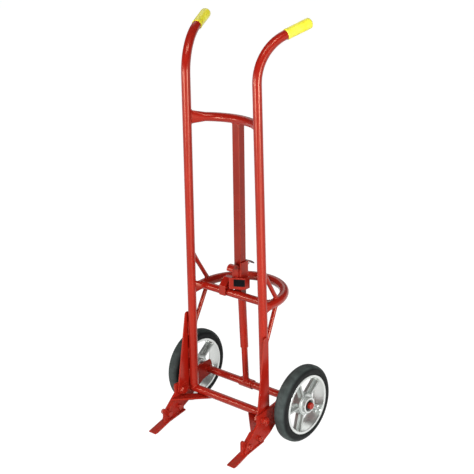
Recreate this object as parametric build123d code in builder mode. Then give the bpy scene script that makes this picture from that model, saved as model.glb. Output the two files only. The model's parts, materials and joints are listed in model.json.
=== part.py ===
from build123d import *
import math
import os

os.makedirs("parts", exist_ok=True)

# Drum hand truck. Millimetres, +Z up, X along the axle. The toes point to -Y, the wheels stand behind.

# Wheels
tyre_diameter = 254.0
tyre_width = 46.0
tyre_shoulder = 20.0
tyre_shoulder_round = 19.0
tyre_bead_width = 40.0
rim_diameter = 196.0
rim_width = 46.0
rim_wall = 6.0
rim_lip = 2.5
boss_diameter = 52.0
boss_length = 62.0
hub_disc_diameter = 72.0
boss_collar = 15.0
spoke_count = 5
spoke_angle = 38.0
spoke_web_width = 26.0
spoke_web_thickness = 8.0
spoke_rib_width = 7.0
spoke_rib_depth = 30.0
bearing_diameter = 40.0
bearing_width = 14.0
bearing_setback = 5.0

# Axle and what sits on it
axle_diameter = 22.2
axle_middle_diameter = 25.4
spacer_diameter = 30.0
spacer_length = 19.6
axle_washer_diameter = 34.0
axle_washer_thickness = 2.0
snap_ring_thickness = 1.8
snap_ring_width = 4.2
snap_ring_groove = 0.7
snap_ring_opening = 6.0
snap_ring_lug = 6.4
snap_ring_eye = 2.2
axle_tail = 9.8
axle_edge = 1.0
saddle_diameter = 32.0
saddle_length = 52.0

# Side rails and handles
rail_diameter = 28.6
rail_wall = 2.5
rail_half_spread_low = 153.5
rail_half_spread_high = 139.5
rail_lead_low = 93.4
rail_lead_high = 107.0
bend_height = 1264.0
bend_radius = 140.0
handle_length = 188.0
handle_flare = 20.8
handle_rise = 18.8
grip_diameter = 33.5
grip_length = 83.0
grip_dome = 9.0
grip_edge_round = 2.0

# Cross pieces
bar_height = 98.0
bar_diameter = 26.7
tube_wall = 2.5
ring_height = 459.5
ring_diameter = 30.0
ring_half_width = 145.0
ring_back = 110.0
ring_tilt = 1.95
member_rise = 2.5
member_diameter = 25.4
upper_tube_height = 1029.0
upper_tube_diameter = 28.6
upper_tube_lead = 34.0
press_width = 9.0
press_start = 11.5
upper_press_height = 43.0
upper_press_length = 46.0
ring_press_height = 46.0
ring_press_length = 20.0
brace_diameter = 14.0
brace_press_height = 19.0
brace_press_start = 26.0
brace_round_start = 66.0
upper_brace_rise = 132.0
upper_brace_lead = 17.0
lower_brace_drop = 145.5
lower_brace_lead = 23.0

# Mast
mast_side = 28.0
mast_wall = 2.5
mast_corner = 3.0
mast_lead = 28.0
lower_mast_diameter = 26.7
lower_mast_lead = 21.5
lower_mast_end_height = 263.0
stub_diameter = 20.6
stub_wall = 2.0
stub_lead = 5.0
stub_overlap = 40.0

# Feet. Outline points are (distance behind the axle line, height above the floor)
strap_thickness = 5.0
strap_bolt_lead = 44.0
strap_bolt_rise = 6.0
strap_toe_radius = 18.5
strap_heel_lead = 16.6
strap_heel_radius = 15.0
strap_top_lead = 11.3
strap_top_rise = 266.0
strap_top_radius = 10.3
plate_thickness = 8.0
plate_front_lead = 226.0
plate_shoulder_lead = 164.0
plate_edge = [
    (-214.0, 52.0),
    (-plate_shoulder_lead, 98.0),
    (-plate_shoulder_lead, 129.0),
    (-140.0, 129.0),
    (-70.0, 140.0),
    (-36.0, 156.0),
    (14.0, 156.0),
    (21.0, 130.0),
    (14.0, 105.0),
    (-26.0, 97.0),
    (-72.0, 69.0),
    (-103.0, 46.0),
]
toe_bolt_spots = [(-161.0, 51.0), (-210.0, 43.5)]
plate_round = 2.0
gusset_thickness = 6.0
gusset_width = 35.0
gusset_front_lead = 190.0
gusset_inner_half = 74.0
gusset_under_bar = 8.0
toe_reach = 285.0
toe_width = 30.0
toe_thickness = 5.0
toe_tip_thickness = 4.0
toe_tip_flat = 12.0
toe_bend_lead = 217.0
toe_bend_height = 17.5
toe_root_lead = 138.0
toe_root_height = 29.5
toe_web_thickness = 10.0
toe_outer_ledge = 3.5
web_front_lead = 222.0
web_edge = [
    (-web_front_lead, 46.0),
    (-214.0, 53.0),
    (-185.0, 77.5),
    (-142.0, 77.5),
    (-toe_root_lead, 52.0),
]
stop_lead = 223.0
stop_width = 14.0
stop_height = 63.0
strap_bolt_diameter = 16.0
strap_bolt_flats = 24.0
strap_washer_diameter = 30.0
toe_bolt_diameter = 10.0
toe_bolt_flats = 16.0
toe_washer_diameter = 18.0
foot_washer_thickness = 2.5
bolt_head_share = 0.63
nut_share = 0.8
thread_tail = 3.0

# Carriage that slides on the mast
sleeve_wall = 5.0
sleeve_height = 92.5
sleeve_front_drop = 21.0
sleeve_corner = 4.0
carriage_rest_gap = 0.4
hook_width = 25.0
hook_thickness = 6.0
hook_shank = 59.0
hook_curl_radius = 13.3
hook_tip = 2.0
hook_shank_foot = 14.5
housing_rise = 7.0
housing_height = 38.5
housing_front = 16.5
housing_cover = 5.0
housing_left = 12.0
housing_right = 17.0
housing_depth = 31.0
housing_slant = 30.0
housing_edge = 1.5
name_plate_width = 37.0
name_plate_height = 24.0
name_plate_thickness = 1.0
name_plate_corner = 1.5
name_plate_shift = 5.2
name_plate_rise = 2.6
apron_width = 26.0
apron_thickness = 5.0
apron_left = 52.0
apron_top_rise = 33.5
apron_slope_drop = 23.0
apron_skirt = 32.0
apron_gap = 1.0
apron_root = 20.0
ear_thickness = 4.0
ear_round = 14.0
ear_drop = 10.0
lever_width = 16.0
lever_thickness = 3.5
lever_hub_diameter = 11.0
lever_reach = 37.0
lever_sag = 18.5
lever_bow_reach = 21.0
lever_bow_sag = 6.5
lever_nose_top = 3.5
lever_nose_foot = 10.0
lever_pin_diameter = 6.0
lever_pin_head = 9.0
lever_pin_head_height = 2.0

# Clearances
weld_gap = 0.2
press_gap = 0.05
running_gap = 0.05
turning_gap = 0.3
slide_gap = 0.4
bolt_gap = 0.3
cover_gap = 0.6

# Where things stand
tyre_radius = tyre_diameter / 2
axle_y = (toe_reach - tyre_radius) / 2
axle_z = tyre_radius
rail_radius = rail_diameter / 2
axle_radius = axle_diameter / 2
axle_bore = axle_radius + press_gap
axle_line = Axis((0, axle_y, axle_z), (1, 0, 0))


def save(piece, name):
    """Label a finished piece and write it."""
    piece.label = name
    export_step(piece, f"parts/{name}.step")


def save_pair(piece, name):
    """Write a right-hand piece and its mirror image."""
    with BuildPart() as twin:
        mirror(piece, about=Plane.YZ)
    save(piece, f"{name}_right")
    save(twin.part, f"{name}_left")


def rail_point(height, side=1):
    """Point on the centre line of the right (1) or left (-1) rail."""
    share = (height - bar_height) / (bend_height - bar_height)
    half = rail_half_spread_low + (rail_half_spread_high - rail_half_spread_low) * share
    lead = rail_lead_low + (rail_lead_high - rail_lead_low) * share
    return Vector(side * half, axle_y - lead, height)


def rail_plane(height, side=1):
    """Plane across a rail at the given height."""
    low = rail_point(bar_height, side)
    high = rail_point(bend_height, side)
    return Plane(rail_point(height, side), z_dir=high - low)


def side_plane(x):
    """Plane square to the axle: its x runs to +Y from the axle line, its y up from the floor."""
    return Plane((x, axle_y, 0), x_dir=(0, 1, 0), z_dir=(1, 0, 0))


def wheel_face(x):
    """Plane square to the axle with its origin on the axle line."""
    return Plane((x, axle_y, axle_z), x_dir=(0, 1, 0), z_dir=(1, 0, 0))


def tube_section(diameter, wall):
    """Ring that a tube is swept or drawn from."""
    Circle(diameter / 2)
    Circle(diameter / 2 - wall, mode=Mode.SUBTRACT)


# Rails: straight up from the bottom bar, then bent back and outward to the handle end
flare = math.radians(handle_flare)
rise = math.radians(handle_rise)
handle_dir = Vector(
    math.sin(flare) * math.cos(rise),
    math.cos(flare) * math.cos(rise),
    math.sin(rise),
)
bend_point = rail_point(bend_height)
handle_end = bend_point + handle_dir * handle_length
bar_y = axle_y - rail_lead_low

with BuildPart() as rail:
    with BuildLine():
        FilletPolyline(rail_point(bar_height), bend_point, handle_end, radius=bend_radius)
    with BuildSketch(rail_plane(bar_height)):
        tube_section(rail_diameter, rail_wall)
    sweep()
    with BuildSketch(Plane((0, bar_y, bar_height), z_dir=(1, 0, 0))):
        Circle(bar_diameter / 2 + weld_gap)
    extrude(amount=2 * rail_half_spread_low, both=True, mode=Mode.SUBTRACT)
save_pair(rail.part, "rail")

# Room that the straight part of both rails, with the gap of the weld, takes out of what meets them
with BuildPart() as rail_room:
    for side in (1, -1):
        with BuildSketch(rail_plane(bar_height, side)):
            Circle(rail_radius + weld_gap)
    extrude(amount=bend_height - bar_height)

# Grips: sleeves with a closed, domed end
grip_radius = grip_diameter / 2
dome_ball = (grip_radius**2 + grip_dome**2) / (2 * grip_dome)
dome_half = math.atan2(grip_radius, dome_ball - grip_dome) / 2
dome_middle = (
    grip_dome - dome_ball + dome_ball * math.cos(dome_half),
    dome_ball * math.sin(dome_half),
)
with BuildPart() as grip:
    with BuildSketch(Plane(handle_end, x_dir=handle_dir, z_dir=handle_dir.cross(Vector(0, 0, 1)))):
        with BuildLine():
            grip_side = Polyline(
                (grip_dome, 0),
                (press_gap, 0),
                (press_gap, rail_radius + press_gap),
                (-grip_length, rail_radius + press_gap),
                (-grip_length, grip_radius - grip_edge_round),
                (grip_edge_round - grip_length, grip_radius),
                (0, grip_radius),
            )
            ThreePointArc(grip_side @ 1, dome_middle, grip_side @ 0)
        make_face()
    revolve(axis=Axis(handle_end, handle_dir))
save_pair(grip.part, "grip")

# Bottom cross bar, between the straps
bar_half = rail_point(bar_height + bar_diameter / 2).X + rail_radius - weld_gap
with BuildPart() as bottom_cross_bar:
    with BuildSketch(Plane((0, bar_y, bar_height), z_dir=(1, 0, 0))):
        tube_section(bar_diameter, tube_wall)
    extrude(amount=bar_half, both=True)
save(bottom_cross_bar.part, "bottom_cross_bar")

# Upper cross tube and bow ring: their ends are pressed flat and upright where they meet the rails
def pressed_end(flat, full, height, diameter, grow):
    """End of a tube, flat from inside the rail to one plane and round at the other."""
    with BuildPart() as end:
        with BuildSketch(flat) as pressed:
            Ellipse(press_width / 2 + grow, height / 2 + grow)
        extrude(amount=-rail_radius)
        with BuildSketch(full) as opened:
            Circle(diameter / 2 + grow)
        loft(sections=[pressed.sketch, opened.sketch], clean=True)
    return end.part


def pressed_tube(flat, full, path, height, diameter, grow):
    """Solid form of a tube with two pressed ends, thicker or thinner by grow."""
    with BuildPart() as form:
        add(pressed_end(flat, full, height, diameter, grow))
        mirror(about=Plane.YZ)
        with BuildSketch(full):
            Circle(diameter / 2 + grow)
        sweep(path=path)
    return form.part


# Upper cross tube, bowed back
upper_end = rail_point(upper_tube_height)
upper_middle = Vector(0, axle_y - upper_tube_lead, upper_tube_height)
with BuildLine():
    upper_bow = ThreePointArc(upper_end, upper_middle, Vector(-upper_end.X, upper_end.Y, upper_tube_height))


def upper_plane(along):
    """Plane across the upper cross tube at a distance along it from the right rail."""
    share = along / upper_bow.length
    run = upper_bow % share
    return Plane(upper_bow @ share, x_dir=run.cross(Vector(0, 0, 1)), z_dir=run)


def upper_tube_form(grow):
    """Solid form of the upper cross tube."""
    flat = upper_plane(press_start)
    full = upper_plane(press_start + upper_press_length)
    round_start = full.origin
    round_end = Vector(-round_start.X, round_start.Y, upper_tube_height)
    with BuildLine() as path:
        ThreePointArc(round_start, upper_middle, round_end)
    return pressed_tube(flat, full, path.wire(), upper_press_height, upper_tube_diameter, grow)


with BuildPart() as upper_cross_tube:
    add(upper_tube_form(0))
    add(upper_tube_form(-tube_wall), mode=Mode.SUBTRACT)
    add(rail_room.part, mode=Mode.SUBTRACT)
save(upper_cross_tube.part, "upper_cross_tube")

# Bow ring: an arm straight back from each rail and a half circle round the back, a little higher there
ring_end = rail_point(ring_height)
ring_y = axle_y + ring_back - ring_half_width
arm_y = ring_end.Y + press_start + ring_press_length
ring_hinge = Axis(ring_end, (1, 0, 0))
with BuildLine() as ring_path:
    Line((ring_half_width, arm_y, ring_height), (ring_half_width, ring_y, ring_height))
    ThreePointArc(
        (ring_half_width, ring_y, ring_height),
        (0, axle_y + ring_back, ring_height),
        (-ring_half_width, ring_y, ring_height),
    )
    Line((-ring_half_width, ring_y, ring_height), (-ring_half_width, arm_y, ring_height))


def ring_form(grow):
    """Solid form of the bow ring."""
    flat = Plane(ring_end + Vector(0, press_start, 0), x_dir=(1, 0, 0), z_dir=(0, 1, 0))
    full = Plane((ring_half_width, arm_y, ring_height), x_dir=(1, 0, 0), z_dir=(0, 1, 0))
    form = pressed_tube(flat, full, ring_path.wire(), ring_press_height, ring_diameter, grow)
    return form.rotate(ring_hinge, ring_tilt)


with BuildPart() as bow_ring:
    add(ring_form(0))
    add(ring_form(-tube_wall), mode=Mode.SUBTRACT)
    add(rail_room.part, mode=Mode.SUBTRACT)
save(bow_ring.part, "bow_ring")

# Room that the ring, with the gap of the weld, takes out of what meets it
ring_room = ring_form(weld_gap)

# Cross member in front of the mast, between the arms of the ring and a little above their middle
member_height = ring_height + member_rise
mast_y = axle_y - mast_lead
member_y = mast_y - mast_side / 2 - weld_gap - member_diameter / 2
with BuildPart() as cross_member:
    with BuildSketch(Plane((0, member_y, member_height), z_dir=(1, 0, 0))):
        tube_section(member_diameter, tube_wall)
    extrude(amount=ring_half_width, both=True)
    add(ring_room, mode=Mode.SUBTRACT)
save(cross_member.part, "cross_member")

# Braces: round rods from each rail to the ring; the upper ones are pressed flat and upright at the rail
def make_brace(rail_height, ring_lead, press_height):
    """Rod from a height on the rail to a place on the ring; a press height widens its rail end."""
    start = rail_point(rail_height)
    foot_y = axle_y - ring_lead
    foot_x = math.sqrt(ring_half_width**2 - (foot_y - ring_y) ** 2)
    foot_z = ring_height + (foot_y - ring_end.Y) * math.tan(math.radians(ring_tilt))
    foot = Vector(foot_x, foot_y, foot_z)
    run = (foot - start).normalized()
    round_start = start + run * brace_round_start
    full = Plane(round_start, x_dir=(1, 0, 0), z_dir=run)
    with BuildPart() as brace:
        with BuildSketch(full):
            Circle(brace_diameter / 2)
        extrude(amount=(foot - round_start).length)
        if press_height > brace_diameter:
            flat = Plane(start + run * brace_press_start, x_dir=(1, 0, 0), z_dir=run)
            add(pressed_end(flat, full, press_height, brace_diameter, 0))
        else:
            with BuildSketch(full):
                Circle(brace_diameter / 2)
            extrude(amount=-brace_round_start)
        add(rail_room.part, mode=Mode.SUBTRACT)
        add(ring_room, mode=Mode.SUBTRACT)
    return brace.part


upper_brace = make_brace(ring_height + upper_brace_rise, upper_brace_lead, brace_press_height)
lower_brace = make_brace(ring_height - lower_brace_drop, lower_brace_lead, brace_diameter)
save_pair(upper_brace, "upper_brace")
save_pair(lower_brace, "lower_brace")

# Mast: square tube from below the cross member up to the upper cross tube
mast_foot_height = member_height - member_diameter / 2
with BuildPart() as mast:
    with BuildSketch(Plane((0, mast_y, mast_foot_height))):
        RectangleRounded(mast_side, mast_side, mast_corner)
        RectangleRounded(
            mast_side - 2 * mast_wall,
            mast_side - 2 * mast_wall,
            mast_corner / 2,
            mode=Mode.SUBTRACT,
        )
    extrude(amount=upper_tube_height - mast_foot_height)
    add(upper_tube_form(weld_gap), mode=Mode.SUBTRACT)
save(mast.part, "mast")

# Lower mast: a round tube under the mast, and a thinner one that stands on the axle saddle
stub_foot = Vector(0, axle_y - stub_lead, axle_z)
lower_top = Vector(0, axle_y - lower_mast_lead, mast_foot_height)
lower_dir = (lower_top - stub_foot).normalized()


def on_lower_mast(height):
    """Point on the centre line of the lower mast."""
    return stub_foot + lower_dir * ((height - stub_foot.Z) / lower_dir.Z)


with BuildPart() as mast_lower_tube:
    with BuildSketch(Plane(on_lower_mast(lower_mast_end_height), z_dir=lower_dir)):
        Circle(lower_mast_diameter / 2)
        Circle(stub_diameter / 2 + press_gap, mode=Mode.SUBTRACT)
    extrude(amount=mast_foot_height - lower_mast_end_height + lower_mast_diameter)
    split(bisect_by=Plane((0, 0, mast_foot_height - weld_gap)), keep=Keep.BOTTOM)
save(mast_lower_tube.part, "mast_lower_tube")

with BuildPart() as mast_stub_tube:
    with BuildSketch(Plane(stub_foot, z_dir=lower_dir)):
        tube_section(stub_diameter, stub_wall)
    extrude(amount=lower_mast_end_height + stub_overlap - axle_z)
    with BuildSketch(Plane((0, axle_y, axle_z), z_dir=(1, 0, 0))):
        Circle(saddle_diameter / 2 + weld_gap)
    extrude(amount=saddle_length, both=True, mode=Mode.SUBTRACT)
save(mast_stub_tube.part, "mast_stub_tube")

with BuildPart() as axle_saddle:
    with BuildSketch(wheel_face(0)):
        Circle(saddle_diameter / 2)
        Circle(axle_middle_diameter / 2 + press_gap, mode=Mode.SUBTRACT)
    extrude(amount=saddle_length / 2, both=True)
save(axle_saddle.part, "axle_saddle")

# Straps: flat bars down the outside of the rails, wider towards the foot
rail_splay = (rail_half_spread_low - rail_half_spread_high) / (bend_height - bar_height)
outward = Vector(1, 0, rail_splay).normalized()
strap_plane = Plane(
    rail_point(bar_height) + outward * (rail_radius + weld_gap),
    x_dir=(0, 1, 0),
    z_dir=outward,
)
strap_bolt_y = -(rail_lead_low + strap_bolt_lead)
strap_bolt_z = bar_height + strap_bolt_rise
strap_bolt_hole = strap_bolt_diameter / 2 + bolt_gap
with BuildPart() as strap:
    with BuildSketch(strap_plane):
        with Locations((-strap_bolt_lead, strap_bolt_rise)):
            Circle(strap_toe_radius)
        with Locations((-strap_heel_lead, strap_bolt_rise)):
            Circle(strap_heel_radius)
        with Locations((-strap_top_lead, strap_top_rise)):
            Circle(strap_top_radius)
        make_hull()
    extrude(amount=strap_thickness)
    with BuildSketch(side_plane(rail_half_spread_low)):
        with Locations((strap_bolt_y, strap_bolt_z)):
            Circle(strap_bolt_hole)
    extrude(amount=rail_diameter + strap_thickness, mode=Mode.SUBTRACT)
save_pair(strap.part, "strap")

# Foot plates: carry the axle, the straps and the toes
strap_low = (-strap_bolt_lead, strap_bolt_rise - strap_toe_radius, strap_thickness)
plate_inner = strap_plane.from_local_coords(strap_low).X + weld_gap
plate_outer = plate_inner + plate_thickness


def toe_top(lead):
    """Height of the toe's upper face at a distance ahead of the axle."""
    bend_top = toe_bend_height + toe_thickness
    if lead > toe_bend_lead:
        share = (toe_reach - lead) / (toe_reach - toe_bend_lead)
        return toe_tip_thickness + (bend_top - toe_tip_thickness) * share
    share = (toe_bend_lead - lead) / (toe_bend_lead - toe_root_lead)
    return bend_top + (toe_root_height - toe_bend_height) * share


plate_nose = (-plate_front_lead, toe_top(plate_front_lead) + weld_gap)
plate_step = (weld_gap - toe_root_lead, toe_root_height)
plate_heel = (weld_gap - toe_root_lead, toe_top(toe_root_lead) + weld_gap)
plate_bend = (-toe_bend_lead, toe_top(toe_bend_lead) + weld_gap)
plate_outline = [plate_nose, *plate_edge, plate_step, plate_heel, plate_bend]
toe_bolt_hole = toe_bolt_diameter / 2 + bolt_gap
with BuildPart() as foot_plate:
    with BuildSketch(side_plane(plate_inner)) as plate_face:
        with BuildLine():
            Polyline(*plate_outline, close=True)
        make_face()
        fillet(plate_face.vertices().sort_by_distance(plate_heel)[1:], radius=plate_round)
        with Locations((0, axle_z)):
            Circle(axle_bore, mode=Mode.SUBTRACT)
        with Locations((strap_bolt_y, strap_bolt_z)):
            Circle(strap_bolt_hole, mode=Mode.SUBTRACT)
        with Locations(*toe_bolt_spots):
            Circle(toe_bolt_hole, mode=Mode.SUBTRACT)
    extrude(amount=plate_thickness)
save_pair(foot_plate.part, "foot_plate")

# Toes: a tapered blade, and a web with an upright stop that is bolted inside the foot plate
toe_outer = plate_outer + toe_outer_ledge
toe_middle = toe_outer - toe_width / 2
web_outer = plate_inner - weld_gap
toe_tip_lead = toe_reach - toe_tip_flat
web_outline = [
    (-web_front_lead, toe_top(web_front_lead) - toe_tip_thickness),
    *web_edge,
    (-toe_root_lead, toe_top(toe_root_lead) - toe_tip_thickness),
    (-toe_bend_lead, toe_top(toe_bend_lead) - toe_tip_thickness),
]
with BuildPart() as toe:
    with BuildSketch(side_plane(toe_middle)):
        with BuildLine():
            Polyline(
                (-toe_reach, 0),
                (-toe_reach, toe_tip_thickness),
                (-toe_bend_lead, toe_bend_height + toe_thickness),
                (-toe_root_lead, toe_root_height + toe_thickness),
                (-toe_root_lead, toe_root_height),
                (-toe_bend_lead, toe_bend_height),
                (-toe_tip_lead, 0),
                close=True,
            )
        make_face()
    extrude(amount=toe_width / 2, both=True)
    stop_low = toe_top(stop_lead) - toe_tip_thickness
    stop_shoulder = stop_height - stop_width / 2
    with BuildSketch(side_plane(web_outer)):
        with BuildLine():
            Polyline(*web_outline, close=True)
        make_face()
        with Locations((-stop_lead, stop_shoulder)):
            Circle(stop_width / 2)
        with Locations((-stop_lead, stop_low)):
            Rectangle(stop_width, stop_shoulder - stop_low, align=(Align.CENTER, Align.MIN))
        with Locations(*toe_bolt_spots):
            Circle(toe_bolt_hole, mode=Mode.SUBTRACT)
    extrude(amount=-toe_web_thickness)
save_pair(toe.part, "toe")

# Gussets: level flat bars, slantwise from the foot plate to the underside of the bottom bar
gusset_top = bar_height - bar_diameter / 2 - weld_gap
gusset_back = gusset_under_bar - rail_lead_low
gusset_front = Vector(web_outer, -gusset_front_lead)
gusset_inner = Vector(gusset_inner_half, gusset_back)
gusset_run = (gusset_inner - gusset_front).normalized()
gusset_corner = gusset_front + Vector(gusset_run.Y, -gusset_run.X) * gusset_width
with BuildPart() as gusset:
    with BuildSketch(Plane((0, axle_y, gusset_top))):
        with BuildLine():
            Polyline(
                gusset_front,
                gusset_inner,
                gusset_corner + gusset_run * ((gusset_back - gusset_corner.Y) / gusset_run.Y),
                gusset_corner + gusset_run * ((web_outer - gusset_corner.X) / gusset_run.X),
                close=True,
            )
        make_face()
    extrude(amount=-gusset_thickness)
save_pair(gusset.part, "gusset")


# Bolts, nuts and washers of the feet. A bolt lies along X: head inside, nut outside
def hexagon_between(x_from, x_to, y, z, flats, hole=0.0):
    """Hexagonal prism along the axle direction."""
    with BuildPart() as prism:
        with BuildSketch(side_plane(x_from)):
            with Locations((y, z)):
                RegularPolygon(flats / 2, 6, major_radius=False)
                if hole > 0:
                    Circle(hole, mode=Mode.SUBTRACT)
        extrude(amount=x_to - x_from)
    return prism.part


def disc_between(x_from, x_to, y, z, diameter, hole=0.0):
    """Disc or ring along the axle direction."""
    with BuildPart() as disc:
        with BuildSketch(side_plane(x_from)):
            with Locations((y, z)):
                Circle(diameter / 2)
                if hole > 0:
                    Circle(hole, mode=Mode.SUBTRACT)
        extrude(amount=x_to - x_from)
    return disc.part


def both_sides(pieces):
    """Group of separate solids: the given ones and their mirror images."""
    with BuildPart() as group:
        for piece in pieces:
            add(piece)
        for piece in pieces:
            mirror(piece, about=Plane.YZ)
    return group.part


strap_washer_low = strap_plane.from_local_coords(
    (-strap_bolt_lead, strap_bolt_rise + strap_washer_diameter / 2, 0)
).X
strap_bolt_size = (strap_bolt_diameter, strap_bolt_flats, strap_washer_diameter)
toe_bolt_size = (toe_bolt_diameter, toe_bolt_flats, toe_washer_diameter)
bolt_sets = [(strap_bolt_y, strap_bolt_z, strap_washer_low - weld_gap, strap_bolt_size)]
for toe_bolt_y, toe_bolt_z in toe_bolt_spots:
    bolt_sets.append((toe_bolt_y, toe_bolt_z, web_outer - toe_web_thickness - weld_gap, toe_bolt_size))
bolts = []
nuts = []
washers = []
for y, z, inner_face, (diameter, flats, washer) in bolt_sets:
    outer_face = plate_outer + weld_gap
    head_face = inner_face - foot_washer_thickness - weld_gap
    nut_face = outer_face + foot_washer_thickness + weld_gap
    nut_end = nut_face + nut_share * diameter
    hole = diameter / 2 + press_gap
    head = hexagon_between(head_face - bolt_head_share * diameter, head_face, y, z, flats)
    shank = disc_between(head_face, nut_end + thread_tail, y, z, diameter)
    with BuildPart() as bolt:
        add(head)
        add(shank)
    bolts.append(bolt.part)
    nuts.append(hexagon_between(nut_face, nut_end, y, z, flats, hole))
    washers.append(disc_between(outer_face, outer_face + foot_washer_thickness, y, z, washer, hole))
    washers.append(disc_between(inner_face - foot_washer_thickness, inner_face, y, z, washer, hole))
save(both_sides(bolts), "foot_bolts")
save(both_sides(nuts), "foot_nuts")
save(both_sides(washers), "foot_washers")

# Axle, thicker between the foot plates, with its spacers and washers and the wheels' snap rings
spacer_from = plate_outer + weld_gap
inner_washer_from = spacer_from + spacer_length + weld_gap
boss_from = inner_washer_from + axle_washer_thickness + turning_gap - bearing_setback
boss_to = boss_from + boss_length
outer_washer_from = boss_to - bearing_setback + turning_gap
snap_ring_from = outer_washer_from + axle_washer_thickness + weld_gap
snap_ring_to = snap_ring_from + snap_ring_thickness
axle_end = snap_ring_to + axle_tail
groove_radius = axle_radius - snap_ring_groove
with BuildPart() as axle:
    with BuildSketch(wheel_face(0)):
        Circle(axle_radius)
    extrude(amount=axle_end, both=True)
    chamfer(axle.faces().filter_by(Axis.X).edges(), length=axle_edge)
    with BuildSketch(wheel_face(0)):
        Circle(axle_middle_diameter / 2)
    extrude(amount=plate_inner - weld_gap, both=True)
    for groove_from in (snap_ring_from - press_gap, -snap_ring_to - press_gap):
        with BuildSketch(wheel_face(groove_from)):
            Circle(axle_diameter)
            Circle(groove_radius, mode=Mode.SUBTRACT)
        extrude(amount=snap_ring_thickness + 2 * press_gap, mode=Mode.SUBTRACT)
save(axle.part, "axle")

spacer = disc_between(spacer_from, spacer_from + spacer_length, 0, axle_z, spacer_diameter, axle_bore)
save(both_sides([spacer]), "axle_spacers")
axle_washers = [
    disc_between(start, start + axle_washer_thickness, 0, axle_z, axle_washer_diameter, axle_bore)
    for start in (inner_washer_from, outer_washer_from)
]
save(both_sides(axle_washers), "axle_washers")

snap_ring_inner = groove_radius + press_gap
lug_radius = snap_ring_lug / 2
lug_y = snap_ring_opening / 2 + lug_radius
lug_z = math.sqrt((snap_ring_inner + lug_radius) ** 2 - lug_y**2)
with BuildPart() as snap_ring:
    with BuildSketch(wheel_face(snap_ring_from)):
        Circle(snap_ring_inner + snap_ring_width)
        Circle(snap_ring_inner, mode=Mode.SUBTRACT)
        with Locations((0, snap_ring_inner + snap_ring_width / 2)):
            Rectangle(snap_ring_opening, 2 * snap_ring_width, mode=Mode.SUBTRACT)
        with Locations((lug_y, lug_z), (-lug_y, lug_z)):
            Circle(lug_radius)
            Circle(snap_ring_eye / 2, mode=Mode.SUBTRACT)
    extrude(amount=snap_ring_thickness)
save(both_sides([snap_ring.part]), "snap_rings")

# Wheels
wheel_x = (boss_from + boss_to) / 2
wheel_section = Plane((wheel_x, axle_y, axle_z), x_dir=(1, 0, 0), z_dir=(0, -1, 0))
rim_radius = rim_diameter / 2
boss_radius = boss_diameter / 2
hub_disc_radius = hub_disc_diameter / 2
bearing_radius = bearing_diameter / 2
half_boss = boss_length / 2
half_rim = rim_width / 2
seat_radius = bearing_radius + press_gap
seat_depth = bearing_setback + bearing_width
waist_bore = axle_radius + turning_gap
with BuildPart() as wheel_hub:
    with BuildSketch(wheel_section):
        with BuildLine():
            Polyline(
                (-half_rim, rim_radius),
                (-half_rim, rim_radius - rim_wall - rim_lip),
                (-half_rim + rim_wall, rim_radius - rim_wall),
                (half_rim - rim_wall, rim_radius - rim_wall),
                (half_rim, rim_radius - rim_wall - rim_lip),
                (half_rim, rim_radius),
                close=True,
            )
        make_face()
        with BuildLine():
            Polyline(
                (-half_boss, seat_radius),
                (-half_boss, boss_radius),
                (-half_boss + boss_collar, boss_radius),
                (-half_boss + boss_collar, hub_disc_radius),
                (half_boss - boss_collar, hub_disc_radius),
                (half_boss - boss_collar, boss_radius),
                (half_boss, boss_radius),
                (half_boss, seat_radius),
                (half_boss - seat_depth, seat_radius),
                (half_boss - seat_depth, waist_bore),
                (-half_boss + seat_depth, waist_bore),
                (-half_boss + seat_depth, seat_radius),
                close=True,
            )
        make_face()
    revolve(axis=axle_line)
    spoke_inner = (hub_disc_radius + bearing_radius) / 2
    spoke_outer = rim_radius - rim_wall / 2
    spoke_length = spoke_outer - spoke_inner
    spoke_middle = (spoke_outer + spoke_inner) / 2
    for width, depth in ((spoke_web_width, spoke_web_thickness), (spoke_rib_width, spoke_rib_depth)):
        with BuildSketch(wheel_face(wheel_x)):
            with PolarLocations(spoke_middle, spoke_count, start_angle=spoke_angle):
                Rectangle(spoke_length, width)
        extrude(amount=depth / 2, both=True)
save_pair(wheel_hub.part, "wheel_hub")

half_tyre = tyre_width / 2
half_bead = tyre_bead_width / 2
tyre_bore = rim_radius + press_gap
with BuildPart() as tyre:
    with BuildSketch(wheel_section) as tyre_face:
        with BuildLine():
            Polyline(
                (-half_bead, tyre_bore),
                (-half_tyre, tyre_radius - tyre_shoulder),
                (-half_tyre, tyre_radius),
                (half_tyre, tyre_radius),
                (half_tyre, tyre_radius - tyre_shoulder),
                (half_bead, tyre_bore),
                close=True,
            )
        make_face()
        fillet(tyre_face.vertices().group_by(Axis.Y)[-1], radius=tyre_shoulder_round)
    revolve(axis=axle_line)
save_pair(tyre.part, "tyre")

bearing_starts = (boss_from + bearing_setback, boss_to - seat_depth + press_gap)
bearings = [
    disc_between(start, start + bearing_width - press_gap, 0, axle_z, bearing_diameter,
                 axle_radius + running_gap)
    for start in bearing_starts
]
with BuildPart() as wheel_bearings:
    for bearing in bearings:
        add(bearing)
save_pair(wheel_bearings.part, "wheel_bearings")

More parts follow.
